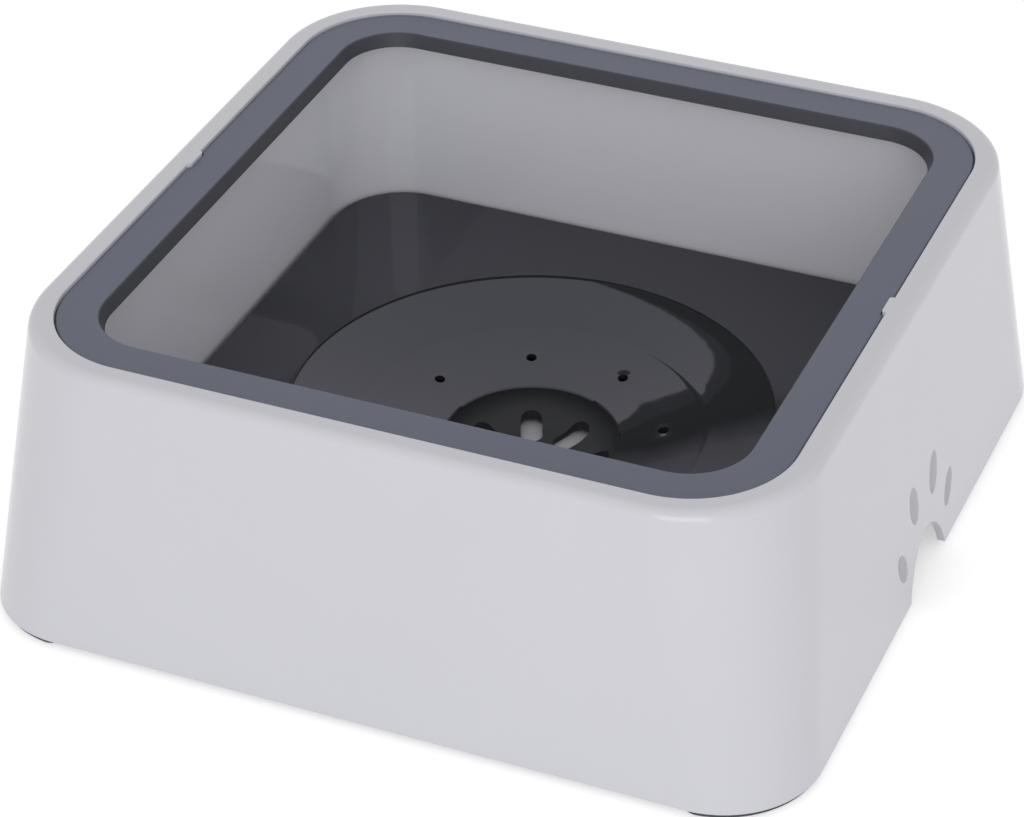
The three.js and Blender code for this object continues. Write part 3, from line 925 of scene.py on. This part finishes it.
def make_tray():
    centre = TOP_CENTRE
    piece = start_square("tray", TRAY_HALF, TRAY_HALF - centre, PLATE_BOTTOM)
    pick_cap(PLATE_BOTTOM)
    step(0, TRAY_TOP - PLATE_BOTTOM)
    pick_cap(TRAY_TOP)
    steps((PLATE_SKIN, 0), (0, PLATE_BOTTOM + PLATE_SKIN - TRAY_TOP))
    floor_top = PLATE_BOTTOM + PLATE_SKIN
    inner = TRAY_HALF - PLATE_SKIN
    round_edges(
        lambda item: on_square(item, inner, centre, floor_top), TRAY_FILLET - PLATE_SKIN, 6
    )
    round_edges(
        lambda item: on_square(item, TRAY_HALF, centre, PLATE_BOTTOM), TRAY_FILLET, 8
    )
    close_mesh()
    tube = start(
        bpy.ops.mesh.primitive_cylinder_add,
        "tube",
        vertices=CIRCLE_SIDES,
        radius=TRAY_BORE + PLATE_SKIN,
        depth=TRAY_BORE_TOP - PLATE_BOTTOM - EMBED,
        location=(0, 0, (TRAY_BORE_TOP + PLATE_BOTTOM + EMBED) / 2),
    )
    close_mesh()
    combine(piece, [tube], "UNION")
    bore = start(
        bpy.ops.mesh.primitive_cylinder_add,
        "bore",
        vertices=CIRCLE_SIDES,
        radius=TRAY_BORE,
        depth=TRAY_TOP,
        location=(0, 0, PLATE_BOTTOM - OVERRUN + TRAY_TOP / 2),
    )
    close_mesh()
    combine(piece, [bore], "DIFFERENCE")
    return piece


# Feet


def make_foot():
    """The rear right foot: a rubber strip with three pegs that hold it in its shelf."""
    half = FOOT_WIDTH / 2
    strip = corner_strip(
        "foot_rear_right", FOOT_RADIUS - half, FOOT_RADIUS + half, 0, FOOT_TOP, FOOT_SWEEP
    )
    bpy.ops.object.mode_set(mode="EDIT")
    pick("EDGE", lambda edge: not upright(edge) and edge.calc_face_angle(0) > 1)
    bpy.ops.mesh.bevel(offset=FOOT_EDGE, segments=3, affect="EDGES")
    close_mesh()
    peg = pin("peg", PEG_RADIUS, FOOT_TOP - EMBED, PEG_HEAD_BOTTOM)
    wide = PEG_HEAD_RADIUS / PEG_RADIUS
    narrow = PEG_TIP_RADIUS / PEG_HEAD_RADIUS
    middle = Vector((BASE_CENTRE, BASE_CENTRE, 0))
    pick_cap(PEG_HEAD_BOTTOM)
    bpy.ops.mesh.extrude_region_move()
    bpy.ops.transform.resize(value=(wide, wide, 1), center_override=middle)
    bpy.ops.mesh.extrude_region_move(
        TRANSFORM_OT_translate={"value": (0, 0, PEG_TOP - PEG_HEAD_BOTTOM)}
    )
    bpy.ops.transform.resize(value=(narrow, narrow, 1), center_override=middle)
    close_mesh()
    combine(strip, at_pegs(peg), "UNION")
    return strip


# Materials


def linear(code):
    """An sRGB hex colour as linear red, green, blue and alpha."""
    shares = [int(code[i : i + 2], 16) / 255 for i in (1, 3, 5)]
    return [c / 12.92 if c <= 0.04045 else ((c + 0.055) / 1.055) ** 2.4 for c in shares] + [1]


def add(tree, kind, inputs=None, **settings):
    """Adds a node with its settings, and with a value or a link for each input named."""
    made = tree.nodes.new(kind)
    for name, value in settings.items():
        setattr(made, name, value)
    for name, value in (inputs or {}).items():
        if isinstance(value, bpy.types.NodeSocket):
            tree.links.new(value, made.inputs[name])
        else:
            made.inputs[name].default_value = value
    return made


def new_material(name):
    material = bpy.data.materials.new(name)
    material.use_nodes = True
    material.node_tree.nodes.clear()
    return material


def plastic(name, colour, shade, ior, roughness, spread, ripple, grain, gloss="#FFFFFF"):
    """Moulded plastic: two close colours in a slow drift, a long ripple left by shrinkage,
    and a fine grain left by the tool, which the roughness follows.
    Ripple and grain are each a size and a height, and spread is how far the roughness goes
    either way. Gloss is the tint of what it reflects."""
    material = new_material(name)
    tree = material.node_tree
    place = add(tree, "ShaderNodeTexCoord").outputs["Object"]
    drift = add(
        tree, "ShaderNodeTexNoise", {"Vector": place, "Scale": 1 / DRIFT_SIZE, "Detail": 2}
    ).outputs["Fac"]
    tint = add(
        tree,
        "ShaderNodeMix",
        {"Factor": drift, 6: linear(colour), 7: linear(shade)},
        data_type="RGBA",
    ).outputs[2]
    fine = add(
        tree, "ShaderNodeTexNoise", {"Vector": place, "Scale": 1 / grain[0], "Detail": 3}
    ).outputs["Fac"]
    rough = add(
        tree,
        "ShaderNodeMapRange",
        {
            "Value": fine,
            "From Min": NOISE_LOW,
            "From Max": NOISE_HIGH,
            "To Min": roughness - spread,
            "To Max": roughness + spread,
        },
    ).outputs["Result"]
    wave = add(
        tree, "ShaderNodeTexNoise", {"Vector": place, "Scale": 1 / ripple[0], "Detail": 2}
    ).outputs["Fac"]
    rippled = add(
        tree, "ShaderNodeBump", {"Height": wave, "Distance": ripple[1], "Strength": 1}
    ).outputs["Normal"]
    grained = add(
        tree,
        "ShaderNodeBump",
        {"Height": fine, "Distance": grain[1], "Strength": 1, "Normal": rippled},
    ).outputs["Normal"]
    shader = add(
        tree,
        "ShaderNodeBsdfPrincipled",
        {
            "Base Color": tint,
            "Roughness": rough,
            "IOR": ior,
            "Specular Tint": linear(gloss),
            "Normal": grained,
        },
    )
    add(tree, "ShaderNodeOutputMaterial", {"Surface": shader.outputs["BSDF"]})
    return material


# Gloss white ABS from a polished tool: pale with a breath of lavender, soft wide highlights.
SHELL_ABS = plastic(
    "white_moulded_abs",
    "#DCDCE3",
    "#D9D9E0",
    ior=1.54,
    roughness=0.16,
    spread=0.02,
    ripple=(14 * MM, 0.01 * MM),
    grain=(0.6 * MM, 0.002 * MM),
)
# The same ABS where the tool was spark-eroded for the toes: matt, and a shade darker as painted
# shade in the dents.
TOE_SHADE_ABS = plastic(
    "matt_white_abs_painted_shade",
    "#C6C6CD",
    "#C3C3CA",
    ior=1.5,
    roughness=0.5,
    spread=0.04,
    ripple=(14 * MM, 0.01 * MM),
    grain=(0.5 * MM, 0.01 * MM),
)
# The same ABS in the basin, polished a little further: its walls show each other faintly.
# Its colour is lighter than the shell's: painted light, for the light that falls into the basin
# from above.
BASIN_LIT_ABS = plastic(
    "polished_white_abs_painted_light",
    "#EFEFF6",
    "#ECECF3",
    ior=1.54,
    roughness=0.07,
    spread=0.02,
    ripple=(18 * MM, 0.01 * MM),
    grain=(0.7 * MM, 0.001 * MM),
)
# The basin's floor: duller than the walls, and greyer as painted shade for the shade under the
# floating plate.
FLOOR_SHADE_ABS = plastic(
    "dull_white_abs_painted_shade",
    "#C6C4C8",
    "#C2C0C4",
    ior=1.5,
    roughness=0.4,
    spread=0.03,
    ripple=(18 * MM, 0.01 * MM),
    grain=(0.7 * MM, 0.004 * MM),
)
# Polypropylene from a spark-eroded tool: blue grey, satin, with a fine even grain.
RING_PP = plastic(
    "satin_grey_polypropylene",
    "#606576",
    "#5D6272",
    ior=1.49,
    roughness=0.42,
    spread=0.05,
    ripple=(12 * MM, 0.01 * MM),
    grain=(0.5 * MM, 0.012 * MM),
)
# The ring's inner lip: much darker and duller than its face, its darkness a painted shade for the
# lip that faces inwards under the ring's edge.
RING_LIP_SHADE = plastic(
    "ring_lip_painted_shade",
    "#3A3B43",
    "#37383F",
    ior=1.5,
    roughness=0.5,
    spread=0.05,
    ripple=(9 * MM, 0.01 * MM),
    grain=(0.5 * MM, 0.01 * MM),
)
# High-gloss dark ABS: nearly a mirror, so it shows the basin's walls and the white above them.
# Its reflections are tinted a breath of blue: a painted tint of the light they show.
PLATE_ABS = plastic(
    "gloss_dark_abs",
    "#37383A",
    "#343537",
    ior=1.56,
    roughness=0.025,
    spread=0.005,
    ripple=(11 * MM, 0.006 * MM),
    grain=(0.8 * MM, 0.0002 * MM),
    gloss="#E3E3FF",
)
# The same dark ABS off the tool's plain core, in the pit and under the plate: soft and dark.
PLATE_SATIN = plastic(
    "satin_dark_abs",
    "#38393B",
    "#353638",
    ior=1.38,
    roughness=0.6,
    spread=0.03,
    ripple=(12 * MM, 0.01 * MM),
    grain=(0.5 * MM, 0.004 * MM),
)
# Thermoplastic rubber from a blasted tool: dark grey, matt.
FOOT_TPE = plastic(
    "matt_grey_tpe_rubber",
    "#4A4B50",
    "#434449",
    ior=1.5,
    roughness=0.75,
    spread=0.06,
    ripple=(8 * MM, 0.01 * MM),
    grain=(0.35 * MM, 0.02 * MM),
)


def finish(piece, body, nodes, material, sharp=SHARP):
    """Shades a piece, gives it its material, hangs it on the body it rides on, and hides the parts
    it stands for.
    """
    bpy.ops.object.select_all(action="DESELECT")
    piece.select_set(True)
    bpy.context.view_layer.objects.active = piece
    bpy.ops.object.shade_smooth_by_angle(angle=math.radians(sharp))
    modify(piece, "WEIGHTED_NORMAL", mode="FACE_AREA", weight=100, keep_sharp=True)
    piece.data.materials.clear()
    piece.data.materials.append(material)
    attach(piece, body)
    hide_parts(*nodes)


def give(piece, material, place):
    """Gives a second material to the faces of a piece whose middle is at the place asked."""
    piece.data.materials.append(material)
    for face in piece.data.polygons:
        if place(face.center):
            face.material_index = 1


def in_a_toe(spot):
    """Whether a spot on the shell lies in one of the dents beside and above the pads."""
    depth = skirt_half(spot.z) - abs(spot.x)
    beyond_pad = abs(spot.y) > PAD_HALF or spot.z > SKIRT_BOTTOM + PAD_HEIGHT
    near = abs(spot.y) < 2 * PAD_HALF and spot.z < SKIRT_BOTTOM + 3 * PAD_HEIGHT
    return near and beyond_pad and SAME < depth < TOE_DEPTH + SAME


shell = make_shell()
finish(shell, "bowl", ["outer_shell"], SHELL_ABS)
# The toes' dents get the darker colour: painted shade.
give(shell, TOE_SHADE_ABS, in_a_toe)
basin = make_basin()
# The basin's walls are coloured lighter than the shell: painted light.
finish(basin, "bowl", ["water_basin"], BASIN_LIT_ABS)
# The basin's floor gets the greyer colour: painted shade.
give(basin, FLOOR_SHADE_ABS, lambda spot: abs(spot.z - BASIN_FLOOR) < SAME)
ring = make_ring()
finish(ring, "ring", ["splash_ring"], RING_PP)
# The ring's inner lip gets the darker colour: painted shade.
give(ring, RING_LIP_SHADE, lambda spot: square_half(spot, TOP_CENTRE) < FLANGE_HALF - RING_FACE + SEAM)
plate = make_plate()
finish(plate, "float", ["float_plate"], PLATE_ABS, PLATE_SHARP)
give(plate, PLATE_SATIN, lambda spot: spot.z < PIT_RIM - PIT_BREAK / 2)
finish(make_tray(), "float", ["float_tray"], PLATE_ABS)
rear_right = make_foot()
for place, degrees in (("rear_left", 90), ("front_left", 180), ("front_right", 270)):
    name = "foot_" + place
    finish(turned(rear_right, degrees, name + "_strip"), "bowl", [name], FOOT_TPE)
rear_right.name = rear_right.data.name = "foot_rear_right_strip"
finish(rear_right, "bowl", ["foot_rear_right"], FOOT_TPE)


# Stage: a white floor that keeps the bowl's shadow, and a plain white surround


def make_floor():
    place = (0, 0, -FLOOR_DROP)
    floor = start(bpy.ops.mesh.primitive_plane_add, "floor", size=FLOOR_SIZE, location=place)
    bpy.ops.object.mode_set(mode="OBJECT")
    material = new_material("white_paper_sweep")
    tree = material.node_tree
    paper = add(tree, "ShaderNodeBsdfDiffuse", {"Color": linear("#FBFBFB")})
    glow = add(
        tree, "ShaderNodeEmission", {"Color": linear("#FFFFFF"), "Strength": FLOOR_GLOW}
    )
    lit = add(tree, "ShaderNodeAddShader", {0: paper.outputs[0], 1: glow.outputs[0]})
    seen = add(
        tree,
        "ShaderNodeMixShader",
        {0: seen_ray(tree), 1: paper.outputs[0], 2: lit.outputs[0]},
    )
    add(tree, "ShaderNodeOutputMaterial", {"Surface": seen.outputs[0]})
    floor.data.materials.append(material)


def seen_ray(tree):
    """One for a ray from the camera, from a gloss or through a clear thing, else zero."""
    ray = add(tree, "ShaderNodeLightPath").outputs
    first = add(
        tree,
        "ShaderNodeMath",
        {0: ray["Is Camera Ray"], 1: ray["Is Glossy Ray"]},
        operation="MAXIMUM",
    ).outputs[0]
    return add(
        tree, "ShaderNodeMath", {0: first, 1: ray["Is Transmission Ray"]}, operation="MAXIMUM"
    ).outputs[0]


def make_world():
    """A white surround to look at or mirror, which lights the bowl less than it shows."""
    world = bpy.data.worlds.new("white_surround")
    bpy.context.scene.world = world
    world.use_nodes = True
    tree = world.node_tree
    tree.nodes.clear()
    white = linear("#FFFFFF")
    light = add(tree, "ShaderNodeBackground", {"Color": white, "Strength": SURROUND_LIGHT})
    seen = add(tree, "ShaderNodeBackground", {"Color": white, "Strength": 1})
    both = add(
        tree,
        "ShaderNodeMixShader",
        {0: seen_ray(tree), 1: light.outputs[0], 2: seen.outputs[0]},
    )
    add(tree, "ShaderNodeOutputWorld", {"Surface": both.outputs[0]})


def make_soft_box():
    """A square lamp before the bowl and a little to its right, which faces it."""
    data = bpy.data.lights.new("soft_box", "AREA")
    data.shape = "SQUARE"
    data.size = SOFT_BOX_SIZE
    data.energy = SOFT_BOX_POWER
    lamp = bpy.data.objects.new("soft_box", data)
    bpy.context.collection.objects.link(lamp)
    lamp.location = SOFT_BOX_PLACE
    lamp.rotation_euler = (-SOFT_BOX_PLACE).to_track_quat("-Z", "Y").to_euler()


def make_camera():
    """The photograph's view: from the front right, looking down, through a long lens."""
    data = bpy.data.cameras.new("camera")
    data.sensor_width = SENSOR_WIDTH
    data.lens = LENS
    data.clip_end = 2 * FLOOR_SIZE
    camera = bpy.data.objects.new("camera", data)
    bpy.context.collection.objects.link(camera)
    camera.matrix_world = (
        Matrix.Translation(CAMERA_PLACE)
        @ Matrix.Rotation(math.radians(CAMERA_TURN), 4, "Z")
        @ Matrix.Rotation(math.radians(90 - CAMERA_DOWN), 4, "X")
        @ Matrix.Rotation(math.radians(CAMERA_ROLL), 4, "Z")
    )
    bpy.context.scene.camera = camera


make_floor()
make_world()
make_soft_box()
make_camera()
bpy.context.scene.view_settings.view_transform = "Standard"
